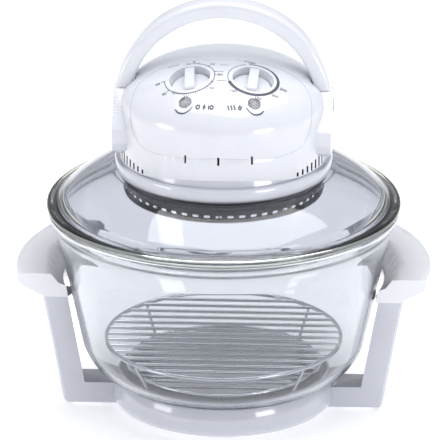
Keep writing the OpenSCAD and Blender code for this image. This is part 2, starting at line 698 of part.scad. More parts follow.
// Perforated band below the lid, with a flange that holds the lid from below
hole_n = 52;
module reflector_band() color("silver") difference() {
    rotate_extrude() polygon([[band_r - 1, band_z], [band_r + 0.8, band_z], [band_r + 1.2, band_z + 1],
        [band_r, band_z + 1.6], [band_r, 230], [97, 230], [97, 231], [band_r, 231],
        [band_r, 237.3], [band_r - 1, 237.3]]);
    for (i = [0:hole_n - 1]) rotate(i * 360 / hole_n) translate([band_r, 0, band_z + 5.5])
        rotate([0, 90, 0]) linear_extrude(10, center = true)
            union() {
                square([2.6, 3.4], center = true);
                for (s = [-1, 1]) translate([0, s * 1.7]) circle(r = 1.3, $fn = 24);
            }
}

module fan_guard() color("silver") {
    for (r = [20:13:72]) wire_ring(r, band_z + 0.2, 1);
    wire_ring(band_r - 2.3, band_z + 0.2, 1.2);
    for (a = [0:45:315]) rotate(a) rod([19, 0, band_z + 1.5], [band_r - 3, 0, band_z + 1.5], 1);
}

tube_r = 62;
tube_z = 223;
tube_gap = 16;
module halogen_tube() color("lightyellow", 0.6) rotate(90 + tube_gap)
    rotate_extrude(angle = 360 - 2 * tube_gap) translate([tube_r, tube_z]) circle(r = 5, $fn = 32);

module lamp_holders() color("white") for (s = [-1, 1]) rotate(90 + s * tube_gap) difference() {
    translate([tube_r - 8, s > 0 ? -12 : 0, tube_z - 7]) cube([16, 12, shield_z - tube_z + 7]);
    translate([tube_r, 0, tube_z]) rotate([90, 0, 0]) cylinder(r = 2.5, h = 8, center = true, $fn = 24);
}

module lamp_clips() color("silver") for (a = [150, 270, 30]) rotate(a)
    translate([tube_r, 0, 0]) difference() {
    translate([-7.2, -3, tube_z - 3]) cube([14.4, 6, shield_z - tube_z + 3]);
    translate([0, 0, tube_z]) rotate([90, 0, 0]) cylinder(r = 5.1, h = 20, center = true, $fn = 48);
    translate([-5.1, -10, tube_z - 10]) cube([10.2, 20, 10]);
    translate([-5.8, -10, tube_z + 5.6]) cube([11.6, 20, 3.6]);
}

module thermal_cutout() color("black") translate([-58, 30, plate_top_z]) {
    cylinder(r = 8, h = 6, $fn = 48);
    for (s = [-1, 1]) translate([s * 3 - 1.5, -3, 6]) cube([3, 6, 5]);
}

module terminal_block() color("ivory") translate([-16, 64, plate_top_z]) difference() {
    cube([32, 12, 13]);
    for (i = [0:2]) translate([6 + 10 * i, 6, 5]) cylinder(r = 2.4, h = 20, $fn = 24);
    for (i = [0:2]) translate([6 + 10 * i, -1, 4]) rotate([-90, 0, 0]) cylinder(r = 1.8, h = 20, $fn = 24);
}

// Safety switch under the right lug: the lug's off-centre cam pushes the plunger down
switch_x = 88.4;
switch_z = 266;
switch_d = 10;
switch_w = 20;
switch_h = 16.8;
plunger_l = 16;
plunger_top = pivot_z - cam_r + cam_off * sin(fold_max / 2) - 0.3;
module safety_switch() color("black") translate([0, 0, switch_z]) difference() {
    translate([switch_x, -switch_w / 2, 0]) cube([switch_d, switch_w, switch_h]);
    translate([plunger_x, 0, plunger_top - plunger_l - 3.5 - switch_z])
        cylinder(r = 2.05, h = 20, $fn = small_fn);
}
module switch_plunger() color("red") translate([plunger_x, 0, plunger_top - plunger_l])
    cylinder(r = 2, h = plunger_l, $fn = small_fn);

gland_z = 272;
gland_r = 7;
module cord_gland() color("dimgray") translate([0, 0, gland_z]) rotate([-90, 0, 0]) difference() {
    union() {
        translate([0, 0, 90]) cylinder(r = gland_r - 0.02, h = 14, $fn = 48);
        translate([0, 0, head_r]) cylinder(r = gland_r + 2, h = 2, $fn = 48);
        translate([0, 0, 90]) cylinder(r = gland_r + 1.5, h = 2.5, $fn = 48);
    }
    translate([0, 0, 80]) cylinder(r = 3.6, h = 40, $fn = 48);
}

module pivot_pins() color("silver") both_sides() translate([0, 0, pivot_z]) rotate([0, 90, 0]) {
    translate([0, 0, 84]) cylinder(r = 3.95, h = ear_x - 84 + 0.6, $fn = 48);
    translate([0, 0, ear_x]) cylinder(r = 6, h = 1, $fn = 48);
}

module housing_screws() color("silver") for (a = head_boss_a) rotate(a)
    translate([head_boss_r, 0, plate_z]) screw(1.45, 16, 3.3, 1.6);

// ---------- handle ----------

// The arch has rounded edges; its lugs run down into the ears and turn on the pins
arch_foot = sweep_hub_r + 0.5;
module handle() color("white") translate([0, 0, pivot_z]) difference() {
    union() {
        difference() {
            intersection() {
                rotate([90, 0, 0]) rotate_extrude($fn = 180) polygon(concat(
                    arc(arch_in_r + 3, -arch_w / 2 + 3, 3, 180, 270, 4),
                    arc(arch_out_r - 5, -arch_w / 2 + 5, 5, 270, 360, 6),
                    arc(arch_out_r - 5, arch_w / 2 - 5, 5, 0, 90, 6),
                    arc(arch_in_r + 3, arch_w / 2 - 3, 3, 90, 180, 4)));
                translate([-120, -20, 0]) cube([240, 40, 120]);
            }
            translate([-130, 0, 0]) rotate([0, 90, 0]) cylinder(r = arch_foot, h = 260, $fn = 96);
        }
        both_sides() {
            translate([lug_x[0], -6.5, 0]) cube([lug_x[1] - lug_x[0], 14.5, 24]);
            translate([lug_x[0], cam_off * cos(fold_max / 2), cam_off * sin(fold_max / 2)])
                rotate([0, 90, 0]) cylinder(r = cam_r, h = lug_x[1] - lug_x[0], $fn = 64);
        }
    }
    both_sides() translate([80, 0, 0]) rotate([0, 90, 0]) cylinder(r = 4, h = 30, $fn = 48);
}

base_ring();
base_plate();
rubber_feet();
base_screws();
bowl_pads();
left_arm();
right_arm();
arm_covers();
arm_bumpers();
left_grip();
right_grip();
grip_covers();
grip_screws();
glass_bowl();
low_rack();
high_rack();
high_rack_legs();
glass_lid();
lid_gasket();
lower_housing();
top_cover();
vent_screens();
control_panel();
power_lens();
heat_lens();
indicator_lamps();
timer_unit();
timer_bell();
thermostat_unit();
thermostat_probe();
motor();
motor_bracket();
motor_screws();
insulation_disc();
heat_shield();
reflector_band();
fan_guard();
halogen_tube();
lamp_holders();
lamp_clips();
thermal_cutout();
terminal_block();
safety_switch();
cord_gland();
pivot_pins();
housing_screws();
handle();
timer_knob();
timer_shaft();
thermostat_knob();
thermostat_shaft();
motor_shaft();
cooling_fan();
convection_fan();
fan_nut();
switch_plunger();
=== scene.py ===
"""Halogen convection oven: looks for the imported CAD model, in metres, in the CAD's own frame.
Profiles are written in millimetres and scaled by MM."""

import math
import random

import bmesh
import bpy
from mathutils import Matrix, Vector


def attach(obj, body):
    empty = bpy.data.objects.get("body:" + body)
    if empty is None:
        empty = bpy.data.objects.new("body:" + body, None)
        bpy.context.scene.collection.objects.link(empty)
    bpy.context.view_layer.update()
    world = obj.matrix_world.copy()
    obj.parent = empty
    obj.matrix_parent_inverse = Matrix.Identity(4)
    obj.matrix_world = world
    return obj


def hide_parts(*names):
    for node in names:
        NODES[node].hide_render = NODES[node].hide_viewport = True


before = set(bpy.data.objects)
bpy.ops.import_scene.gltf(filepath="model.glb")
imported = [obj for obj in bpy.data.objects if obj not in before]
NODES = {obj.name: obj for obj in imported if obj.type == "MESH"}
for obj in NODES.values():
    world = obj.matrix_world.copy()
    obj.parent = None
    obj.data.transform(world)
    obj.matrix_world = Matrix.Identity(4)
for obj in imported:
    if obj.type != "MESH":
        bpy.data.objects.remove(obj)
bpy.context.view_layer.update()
MM = 0.001
SCENE = bpy.context.scene


# ---------- camera, floor, light ----------


def link(obj):
    SCENE.collection.objects.link(obj)
    return obj


def aim(obj, target):
    """Turns obj so that its -Z looks at target."""
    look = Vector(target) - obj.location
    obj.rotation_euler = look.to_track_quat("-Z", "Y").to_euler()


def around(azimuth, elevation, distance, target=(0, 0, 0)):
    """A point at that bearing from target: azimuth 0 is in front (-Y), 90 is at +X."""
    a, e = math.radians(azimuth), math.radians(elevation)
    step = Vector((math.sin(a) * math.cos(e), -math.cos(a) * math.cos(e), math.sin(e)))
    return Vector(target) + step * distance


# A far camera with a long lens, for the photograph's nearly parallel view
CAM_TARGET = (-0.0063, 0, 0.182)
CAM_DISTANCE = 12.0
CAM_AZIMUTH, CAM_ELEVATION = 3, 21
LENS_PER_METRE = 87.8
cam_data = bpy.data.cameras.new("camera")
cam_data.lens = LENS_PER_METRE * CAM_DISTANCE
cam_data.sensor_width = 36
cam = link(bpy.data.objects.new("camera", cam_data))
cam.location = around(CAM_AZIMUTH, CAM_ELEVATION, CAM_DISTANCE, CAM_TARGET)
aim(cam, CAM_TARGET)
SCENE.camera = cam
SCENE.view_settings.view_transform = "Standard"


def area_light(name, place, target, size, watts, colour=(1, 1, 1)):
    data = bpy.data.lights.new(name, "AREA")
    data.shape = "RECTANGLE"
    data.size, data.size_y = size
    data.energy = watts
    data.color = colour
    lamp = link(bpy.data.objects.new(name, data))
    lamp.location = place
    aim(lamp, target)


HEAD_AT = (0, 0, 0.25)
area_light("softbox_left", around(-61, 3, 1.7, HEAD_AT), HEAD_AT, (0.6, 0.36), 3.6, (1, 0.99, 0.97))
area_light("softbox_right", around(45, 3, 1.7, HEAD_AT), HEAD_AT, (0.6, 0.36), 4.9, (0.97, 0.98, 1))
area_light("overhead", (0.1, 0.2, 2.2), (0, 0, 0.2), (2.2, 2.2), 43)


def make_world():
    """A soft white room that is darker low down behind the camera."""
    world = bpy.data.worlds.new("room")
    SCENE.world = world
    world.use_nodes = True
    tree = world.node_tree
    background = tree.nodes["Background"]
    coord = tree.nodes.new("ShaderNodeTexCoord")
    split = tree.nodes.new("ShaderNodeSeparateXYZ")
    tree.links.new(coord.outputs["Generated"], split.inputs[0])

    def rise(axis, start, end):
        node = tree.nodes.new("ShaderNodeMapRange")
        node.interpolation_type = "SMOOTHSTEP"
        node.inputs["From Min"].default_value = start
        node.inputs["From Max"].default_value = end
        tree.links.new(split.outputs[axis], node.inputs["Value"])
        return node

    front = rise("Y", -0.92, -0.4)
    high = rise("Z", 0.15, 0.55)
    bright = tree.nodes.new("ShaderNodeMath")
    bright.operation = "MAXIMUM"
    tree.links.new(front.outputs[0], bright.inputs[0])
    tree.links.new(high.outputs[0], bright.inputs[1])
    ramp = tree.nodes.new("ShaderNodeValToRGB")
    ramp.color_ramp.elements[0].color = (0.5, 0.5, 0.52, 1)
    ramp.color_ramp.elements[1].color = (0.84, 0.86, 0.92, 1)
    tree.links.new(bright.outputs[0], ramp.inputs[0])
    tree.links.new(ramp.outputs[0], background.inputs["Color"])
    background.inputs["Strength"].default_value = 0.55


make_world()


# ---------- materials ----------


def material(name, base, rough, *, rough_to, metallic=0.0, tint=None, tint_scale=40.0,
             bump=0.0, bump_scale=400.0, stretch=(1, 1, 1), **sockets):
    """A Principled material. Roughness wanders from rough to rough_to, the colour from base to
    tint, and a fine noise gives the surface its grain."""
    mat = bpy.data.materials.new(name)
    mat.use_nodes = True
    tree = mat.node_tree
    shader = tree.nodes["Principled BSDF"]
    shader.inputs["Base Color"].default_value = (*base, 1)
    shader.inputs["Roughness"].default_value = rough
    shader.inputs["Metallic"].default_value = metallic
    for key, value in sockets.items():
        shader.inputs[key.replace("_", " ")].default_value = value
    coord = tree.nodes.new("ShaderNodeTexCoord")
    mapping = tree.nodes.new("ShaderNodeMapping")
    mapping.inputs["Scale"].default_value = stretch
    tree.links.new(coord.outputs["Object"], mapping.inputs["Vector"])

    def noise(scale, detail):
        node = tree.nodes.new("ShaderNodeTexNoise")
        node.inputs["Scale"].default_value = scale
        node.inputs["Detail"].default_value = detail
        tree.links.new(mapping.outputs[0], node.inputs["Vector"])
        return node

    field = noise(tint_scale * 1.7, 4)
    span = tree.nodes.new("ShaderNodeMapRange")
    span.inputs["From Min"].default_value = 0.35
    span.inputs["From Max"].default_value = 0.65
    span.inputs["To Min"].default_value = rough
    span.inputs["To Max"].default_value = rough_to
    tree.links.new(field.outputs["Fac"], span.inputs["Value"])
    tree.links.new(span.outputs[0], shader.inputs["Roughness"])
    if tint is not None:
        field = noise(tint_scale, 5)
        ramp = tree.nodes.new("ShaderNodeValToRGB")
        ramp.color_ramp.elements[0].position = 0.36
        ramp.color_ramp.elements[0].color = (*base, 1)
        ramp.color_ramp.elements[1].position = 0.66
        ramp.color_ramp.elements[1].color = (*tint, 1)
        tree.links.new(field.outputs["Fac"], ramp.inputs[0])
        tree.links.new(ramp.outputs[0], shader.inputs["Base Color"])
    if bump:
        field = noise(bump_scale, 3)
        grain = tree.nodes.new("ShaderNodeBump")
        grain.inputs["Strength"].default_value = bump
        grain.inputs["Distance"].default_value = 0.0004
        tree.links.new(field.outputs["Fac"], grain.inputs["Height"])
        tree.links.new(grain.outputs[0], shader.inputs["Normal"])
    return mat


MATS = {
    "white_plastic": material("gloss_white", (0.80, 0.815, 0.865), 0.17, rough_to=0.27,
                              tint=(0.78, 0.795, 0.845), bump=0.035, bump_scale=520,
                              Coat_Weight=1.0, Coat_Roughness=0.02),
    "bowl_glass": material("clear_glass", (0.72, 0.735, 0.76), 0.0, rough_to=0.015,
                           bump=0.02, bump_scale=38, Transmission_Weight=1.0, IOR=1.48),
    "lid_glass": material("lid_clear_glass", (0.66, 0.675, 0.72), 0.0, rough_to=0.015,
                          bump=0.02, bump_scale=34, Transmission_Weight=1.0, IOR=1.48),
    "grey_rubber": material("grey_rubber", (0.44, 0.45, 0.47), 0.55, rough_to=0.75,
                            tint=(0.50, 0.51, 0.53), bump=0.25, bump_scale=1500),
    "black_plastic": material("black_plastic", (0.018, 0.018, 0.021), 0.35, rough_to=0.5,
                              tint=(0.03, 0.03, 0.034), bump=0.2, bump_scale=1800),
    "chrome_wire": material("chrome_wire", (0.80, 0.81, 0.83), 0.06, metallic=1.0, rough_to=0.14,
                            bump=0.05, bump_scale=900),
    # The metal band is near black: a painted dark reflection, in place of the dark things it would
    # mirror.
    "chrome_sheet": material("chrome_sheet", (0.02, 0.022, 0.024), 0.07, metallic=1.0,
                             rough_to=0.13, tint=(0.032, 0.034, 0.037), tint_scale=18,
                             bump=0.03, bump_scale=300),
    "steel": material("zinc_steel", (0.55, 0.56, 0.58), 0.24, metallic=1.0, rough_to=0.4,
                      tint=(0.66, 0.67, 0.68), tint_scale=90, bump=0.08, bump_scale=1200),
    "aluminium": material("rolled_aluminium", (0.74, 0.75, 0.76), 0.2, metallic=1.0, rough_to=0.36,
                          tint=(0.82, 0.82, 0.83), bump=0.12, bump_scale=300,
                          stretch=(1, 14, 1)),
    "brass": material("brass", (0.62, 0.45, 0.18), 0.2, metallic=1.0, rough_to=0.38,
                      tint=(0.72, 0.55, 0.26), tint_scale=120, bump=0.06, bump_scale=900),
    "copper": material("copper", (0.62, 0.30, 0.18), 0.25, metallic=1.0, rough_to=0.42,
                       tint=(0.50, 0.22, 0.14), tint_scale=150, bump=0.06, bump_scale=900),
    "ceramic": material("ceramic", (0.78, 0.75, 0.69), 0.5, rough_to=0.7,
                        tint=(0.70, 0.67, 0.61), tint_scale=120, bump=0.25, bump_scale=1400),
    "mica": material("mica_board", (0.46, 0.38, 0.25), 0.55, rough_to=0.8,
                     tint=(0.60, 0.52, 0.36), tint_scale=160, bump=0.4, bump_scale=700),
    "lens": material("lens_plastic", (0.90, 0.91, 0.93), 0.03, rough_to=0.08,
                     bump=0.02, bump_scale=500, Transmission_Weight=0.9, IOR=1.49),
    "lamp": material("lamp_glow", (0.75, 0.30, 0.10), 0.2, rough_to=0.3,
                     tint=(0.85, 0.42, 0.16), tint_scale=200, Transmission_Weight=0.4),
    "quartz": material("quartz_tube", (0.93, 0.92, 0.90), 0.12, rough_to=0.3,
                       bump=0.04, bump_scale=300, Transmission_Weight=0.85, IOR=1.46),
    "iron": material("laminated_iron", (0.16, 0.16, 0.17), 0.4, metallic=0.8, rough_to=0.6,
                     tint=(0.24, 0.24, 0.25), tint_scale=60, bump=0.6, bump_scale=220,
                     stretch=(0.2, 0.2, 6)),
}
# A darker copy of the white plastic for the ring and the arms: painted shade.
STAND_SHADED_WHITE = material("stand_shaded_white", (0.63, 0.645, 0.71), 0.2, rough_to=0.24,
                       tint=(0.623, 0.638, 0.703), bump=0.035, bump_scale=520,
                       Coat_Weight=1.0, Coat_Roughness=0.03)
# A darker copy of the white plastic for the lower housing: painted shade.
HOUSING_SHADED_WHITE = material("housing_shaded_white", (0.70, 0.715, 0.78), 0.18, rough_to=0.24,
                         tint=(0.692, 0.707, 0.772), bump=0.035, bump_scale=520,
                         Coat_Weight=1.0, Coat_Roughness=0.02)
# A brighter copy of the white plastic for the grips: painted light on their tops.
GRIP_LIT_WHITE = material("grip_lit_white", (0.86, 0.87, 0.91), 0.17, rough_to=0.27,
                      tint=(0.845, 0.855, 0.895), bump=0.035, bump_scale=520,
                      Coat_Weight=1.0, Coat_Roughness=0.02)
RIM_GLASS = material("rim_glass", (0.64, 0.67, 0.55), 0.0, rough_to=0.015,
                     bump=0.02, bump_scale=34, Transmission_Weight=1.0, IOR=1.48)
INK = material("dial_ink", (0.045, 0.05, 0.075), 0.32, rough_to=0.45,
               tint=(0.075, 0.08, 0.11), tint_scale=300, bump=0.05, bump_scale=2500)
GREY_INK = material("fine_ink", (0.085, 0.09, 0.12), 0.35, rough_to=0.5,
                    tint=(0.12, 0.125, 0.155), tint_scale=300, bump=0.05, bump_scale=2500)

FLOOR = 15
floor_mesh = bpy.data.meshes.new("floor")
floor_mesh.from_pydata([(-FLOOR, -FLOOR, 0), (FLOOR, -FLOOR, 0), (FLOOR, FLOOR, 0), (-FLOOR, FLOOR, 0)],
                       [], [(0, 1, 2, 3)])
floor = link(bpy.data.objects.new("floor", floor_mesh))
floor_mesh.materials.append(material("pale_floor", (0.93, 0.93, 0.94), 0.6, rough_to=0.7,
                                     tint=(0.95, 0.95, 0.96), tint_scale=3, bump=0.02,
                                     Emission_Color=(1, 1, 1, 1), Emission_Strength=0.43))

for node_name, node in NODES.items():
    slot_name = node.data.materials[0].name.split(".")[0]
    node.data.materials[0] = MATS[slot_name]
    node["of_slot"] = slot_name


# ---------- mesh helpers ----------


def to_mesh(bm, name):
    """The mesh of a finished bmesh."""
    mesh = bpy.data.meshes.new(name)
    bm.to_mesh(mesh)
    bm.free()
    return mesh


def two_finishes(mesh, first, second, is_second):
    """Gives a mesh two materials: the faces that is_second picks get the second one."""
    mesh.materials.append(first)
    mesh.materials.append(second)
    for face in mesh.polygons:
        if is_second(face):
            face.material_index = 1
    return mesh


def finish_piece(mesh, name, body, mat, replaced, sharp=35):
    """Makes a piece of a mesh: smooth shading with sharp edges kept, its finish and its body."""
    mesh.name = name
    if not mesh.materials:
        mesh.materials.append(mat)
    mesh.polygons.foreach_set("use_smooth", [True] * len(mesh.polygons))
    mesh.set_sharp_from_angle(angle=math.radians(sharp))
    piece = link(bpy.data.objects.new(name, mesh))
    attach(piece, body)
    if replaced:
        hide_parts(*replaced)


def arc(cx, cy, r, a, b, n):
    """Points of an arc about (cx, cy) from angle a to b in degrees."""
    angles = [math.radians(a + (b - a) * i / n) for i in range(n + 1)]
    return [(cx + r * math.cos(t), cy + r * math.sin(t)) for t in angles]


def smooth_curve(points, steps):
    """A Catmull-Rom curve through points, for outlines that are drawn by a few marks."""
    out = []
    padded = [points[0], *points, points[-1]]
    for i in range(len(points) - 1):
        p0, p1, p2, p3 = (Vector(p) for p in padded[i:i + 4])
        for k in range(steps):
            t = k / steps
            out.append(tuple(0.5 * ((2 * p1) + (p2 - p0) * t + (2 * p0 - 5 * p1 + 4 * p2 - p3) * t * t
                                    + (3 * p1 - p0 - 3 * p2 + p3) * t ** 3)))
    out.append(tuple(points[-1]))
    return out


def lathe(profile, segments):
    """Turns a closed outline of (radius, z) millimetres about Z."""
    bm = bmesh.new()
    rings = []
    for r, z in profile:
        if r < 1e-6:
            rings.append([bm.verts.new((0, 0, z * MM))])
            continue
        rings.append([bm.verts.new((r * MM * math.cos(2 * math.pi * k / segments),
                                    r * MM * math.sin(2 * math.pi * k / segments), z * MM))
                      for k in range(segments)])
    for low, high in zip(rings, rings[1:] + rings[:1]):
        if len(low) == 1 and len(high) == 1:
            continue
        for k in range(segments):
            j = (k + 1) % segments
            corners = [low[k % len(low)], low[j % len(low)], high[j % len(high)], high[k % len(high)]]
            bm.faces.new(list(dict.fromkeys(corners)))
    bmesh.ops.recalc_face_normals(bm, faces=bm.faces)
    return to_mesh(bm, "lathe")


def softened(node_name, width, segments=2, angle=32, outer=None):
    """A copy of a CAD node's mesh with its sharp edges rounded, as moulded parts have them.
    outer is (|x|, width): edges further out than |x| get that width instead."""
    bm = bmesh.new()
    bm.from_mesh(NODES[node_name].data)
    bmesh.ops.remove_doubles(bm, verts=bm.verts, dist=2e-6)
    bmesh.ops.dissolve_limit(bm, angle_limit=math.radians(0.6), verts=bm.verts, edges=bm.edges)
    limit = 1e9 if outer is None else outer[0]
    for far in (True, False):
        sharp = [e for e in bm.edges
                 if len(e.link_faces) == 2 and e.calc_face_angle(0) > math.radians(angle)
                 and (min(abs(v.co.x) for v in e.verts) > limit) == far]
        if sharp:
            bmesh.ops.bevel(bm, geom=sharp, offset=outer[1] if far else width, profile=0.5,
                            offset_type="OFFSET", segments=segments, affect="EDGES",
                            clamp_overlap=True, loop_slide=True)
    return to_mesh(bm, node_name)


def soft_piece(node_name, name, body, width, segments=2, angle=32, sharp=35, mat=None):
    """A softened copy of a CAD node in its place, in the node's own finish or in mat."""
    slot = NODES[node_name]["of_slot"]
    mesh = softened(node_name, width, segments, angle)
    finish_piece(mesh, name, body, mat or MATS[slot], (node_name,), sharp)


# ---------- stand ----------

# The ring and the arms wear the darker copy of the white plastic, as painted shade.
soft_piece("base_ring", "ring_shell", "stand", 0.0007, mat=STAND_SHADED_WHITE)
soft_piece("left_arm", "arm_left", "stand", 0.0012, 3, mat=STAND_SHADED_WHITE)
soft_piece("right_arm", "arm_right", "stand", 0.0012, 3, mat=STAND_SHADED_WHITE)
# The grips wear the brighter copy of the white plastic, as painted light.
soft_piece("left_grip", "grip_left", "stand", 0.0005, 2, 60, sharp=24, mat=GRIP_LIT_WHITE)
soft_piece("right_grip", "grip_right", "stand", 0.0005, 2, 60, sharp=24, mat=GRIP_LIT_WHITE)

# ---------- bowl and lid ----------

# The bowl: a flat floor, a round corner and a side that leans out, then a flared rim.
# Its rim ends a hair under the lid, so that no two glass faces coincide.
BOWL_Z, BOWL_WALL = 30.0, 4.5
CORNER_X, CORNER_Z, CORNER_R = 84.3, 80.0, 50.0
SIDE_LEAN, SIDE_TOP = 12, 166.0
CORNER_STEPS = 26


def bowl_side(wall):
    """The bowl's corner and side, wall millimetres inside its outer surface."""
    r = CORNER_R - wall
    lean = math.radians(SIDE_LEAN)
    end = (CORNER_X + r * math.cos(lean), CORNER_Z - r * math.sin(lean))
    top = (end[0] + (SIDE_TOP - end[1]) * math.tan(lean), SIDE_TOP)
    return arc(CORNER_X, CORNER_Z, r, -90, -SIDE_LEAN, CORNER_STEPS) + [top]


rim_outline = smooth_curve([(155.5, 176), (158.6, 184), (161.5, 187.2), (163, 189.2), (163.5, 191.5),
                            (163.2, 194), (161.8, 195.5), (160.5, 195.9)], 3)
rim_inside = [(154.4, 195.9), (153.6, 195.6), (153, 195), (152.6, 193), (152.2, 186), (151, 176)]
bowl_profile = ([(0, BOWL_Z)] + bowl_side(0) + rim_outline + rim_inside
                + bowl_side(BOWL_WALL)[::-1] + [(0, BOWL_Z + BOWL_WALL)])
finish_piece(lathe(bowl_profile, 256), "bowl_shell", "bowl", MATS["bowl_glass"],
             ("glass_bowl",), 60)

# The lid: a flat seat round its hole, a dome that falls from it, and a thick rim with a lip
# that hangs inside the bowl
SEAT_Z, HOLE_R, SEAT_R = 236.5, 93, 101
DOME_R, DOME_START, LID_WALL = 108.9, 76, 4.5
DOME_X = SEAT_R - DOME_R * math.cos(math.radians(DOME_START))
DOME_Z = SEAT_Z - DOME_R * math.sin(math.radians(DOME_START))
RIM_FROM = 158.5
lid_profile = ([(HOLE_R, SEAT_Z - LID_WALL), (HOLE_R, SEAT_Z)]
               + arc(DOME_X, DOME_Z, DOME_R, DOME_START, 44, 26)
               + smooth_curve([(153.6, 205.6), (155.5, 204.2), (158, 203.2), (160, 203.15)], 3)
               + arc(161.4, 199.6, 3.56, 80, -70, 14)
               + [(161, 196), (151.8, 196), (151.3, 191.5), (150.6, 191.25), (148.4, 191.2),
                  (147.9, 191.7), (147.4, 198)]
               + arc(DOME_X, DOME_Z, DOME_R - LID_WALL, 47, 74, 24)
               + [(99, SEAT_Z - LID_WALL)])
lid_mesh = two_finishes(lathe(lid_profile, 256), MATS["lid_glass"], RIM_GLASS,
                        lambda face: math.hypot(face.center.x, face.center.y) > RIM_FROM * MM)
finish_piece(lid_mesh, "lid_dome", "head", MATS["lid_glass"], ("glass_lid",), 60)

# ---------- head ----------

COVER_R = 0.0985
VENT_X = (0.068, 0.096)
VENT_Z = (0.2519, 0.264)


def in_vent_painted_shade(face):
    """Whether a face of the top cover is a wall of a side vent. These walls get black plastic as painted
    shade, for the dark inside the vents.
    """
    out = Vector((face.center.x, face.center.y, 0))
    among_vents = out.y < 0 and VENT_X[0] < abs(out.x) < VENT_X[1] and out.length < COVER_R
    return (among_vents and VENT_Z[0] < face.center.z < VENT_Z[1]
            and abs(face.normal.dot(out.normalized())) < 0.8)


# The walls of the side vents are painted black: painted shade for the dark inside the vents.
cover = two_finishes(softened("top_cover", 0.0003, outer=(COVER_R, 0.0009)),
                     MATS["white_plastic"], MATS["black_plastic"], in_vent_painted_shade)
finish_piece(cover, "head_cover", "head", MATS["white_plastic"], ("top_cover",))
soft_piece("control_panel", "panel_face", "head", 0.0002)
# The lower housing wears the darker copy of the white plastic, as painted shade.
soft_piece("lower_housing", "head_flange", "head", 0.0006, mat=HOUSING_SHADED_WHITE)
soft_piece("handle", "handle_arch", "handle", 0.001, 3)
soft_piece("timer_knob", "knob_timer", "timer_knob", 0.0008, 3)
soft_piece("thermostat_knob", "knob_thermostat", "thermostat_knob", 0.0008, 3)

# The other parts: rounded copies of the CAD, each with its own width of edge, in millimetres
SOFT = {
    "base_plate": ("stand", 0.4), "rubber_feet": ("stand", 0.5), "base_screws": ("stand", 0.15),
    "bowl_pads": ("stand", 0.6), "arm_covers": ("stand", 0.3), "arm_bumpers": ("stand", 0.2),
    "grip_covers": ("stand", 0.3), "grip_screws": ("stand", 0.15),
    "lid_gasket": ("head", 0.2), "reflector_band": ("head", 0.12),
    "insulation_disc": ("head", 0.4), "heat_shield": ("head", 0.2),
    "indicator_lamps": ("head", 0.15), "timer_unit": ("head", 0.4),
    "timer_bell": ("head", 0.15), "thermostat_unit": ("head", 0.4),
    "thermostat_probe": ("head", 0.2), "motor": ("head", 0.6), "motor_bracket": ("head", 0.2),
    "motor_screws": ("head", 0.12), "lamp_holders": ("head", 0.6), "lamp_clips": ("head", 0.15),
    "thermal_cutout": ("head", 0.3), "terminal_block": ("head", 0.4),
    "safety_switch": ("head", 0.4), "cord_gland": ("head", 0.4),
    "housing_screws": ("head", 0.12), "timer_shaft": ("timer_knob", 0.3),
    "thermostat_shaft": ("thermostat_knob", 0.3), "motor_shaft": ("rotor", 0.4),
    "cooling_fan": ("rotor", 0.2), "convection_fan": ("rotor", 0.15), "fan_nut": ("rotor", 0.3),
    # The vent screens are dark sheets behind the side vents: painted shade for the dark interior.
    "switch_plunger": ("switch_plunger", 0.4), "vent_screens": ("head", 0.2),
}
for part_name, (part_body, edge) in SOFT.items():
    soft_piece(part_name, part_name + "_part", part_body, edge * MM)

soft_piece("pivot_pins", "pivot_caps", "head", 0.0004)

# The rolled lower edge of the metal band
BEAD_R, BEAD_Z, BEAD_THICK = 91.5, 213.4, 0.55
finish_piece(lathe(arc(BEAD_R, BEAD_Z, BEAD_THICK, 0, 337.5, 15), 192), "band_bead", "head",
             MATS["chrome_wire"], (), 60)


def tube(path, radius, sides):
    """A round bar of one piece along a path of millimetre points."""
    bm = bmesh.new()
    points = [Vector(p) for p in path]
    rings = []
    normal = None
    for i, point in enumerate(points):
        ahead = (points[min(i + 1, len(points) - 1)] - points[max(i - 1, 0)]).normalized()
        if normal is None:
            normal = ahead.orthogonal().normalized()
        normal = (normal - ahead * normal.dot(ahead)).normalized()
        across = ahead.cross(normal)
        turns = [2 * math.pi * k / sides for k in range(sides)]
        rings.append([bm.verts.new((point + (normal * math.cos(t) + across * math.sin(t)) * radius) * MM)
                      for t in turns])
    for near, far in zip(rings, rings[1:]):
        for k in range(sides):
            bm.faces.new((near[k], near[(k + 1) % sides], far[(k + 1) % sides], far[k]))
    bm.faces.new(rings[0])
    bm.faces.new(rings[-1][::-1])
    bmesh.ops.recalc_face_normals(bm, faces=bm.faces)
    return to_mesh(bm, "tube")


# The tungsten coil inside the halogen tube
TUBE_R, TUBE_Z, COIL_R, WIRE_R = 62, 223, 1.1, 0.28
COIL_START, COIL_SWEEP, COIL_POINTS, POINTS_PER_TURN = 112, 316, 1500, 12
coil = []
for k in range(COIL_POINTS + 1):
    swing = math.radians(COIL_START + COIL_SWEEP * k / COIL_POINTS)
    spin = 2 * math.pi * k / POINTS_PER_TURN
    reach = TUBE_R + COIL_R * math.cos(spin)
    coil.append((reach * math.cos(swing), reach * math.sin(swing), TUBE_Z + COIL_R * math.sin(spin)))
finish_piece(tube(coil, WIRE_R, 5), "halogen_filament", "head", MATS["steel"], (), 60)

# ---------- printed marks ----------

HEAD_R, SHOULDER_Z, CROWN_H = 98.0, 300.0, 47.0
DIAL_AT, DIAL_TILT, DIAL_SPLAY = (29.6, -43.0), 12, 10
LENS_AT, LENS_TILT, LENS_SPLAY = (32.0, -74.5), 33, 14
RING_R, LENS_ROW_R = 23.6, 83.2
MARK_TOP, MARK_FOOT = 0.12, -0.3


def crown_z(x, y):
    """The height of the head's crown above (x, y), on an ellipsoid."""
    return SHOULDER_Z + CROWN_H * math.sqrt(1 - (x * x + y * y) / HEAD_R ** 2)


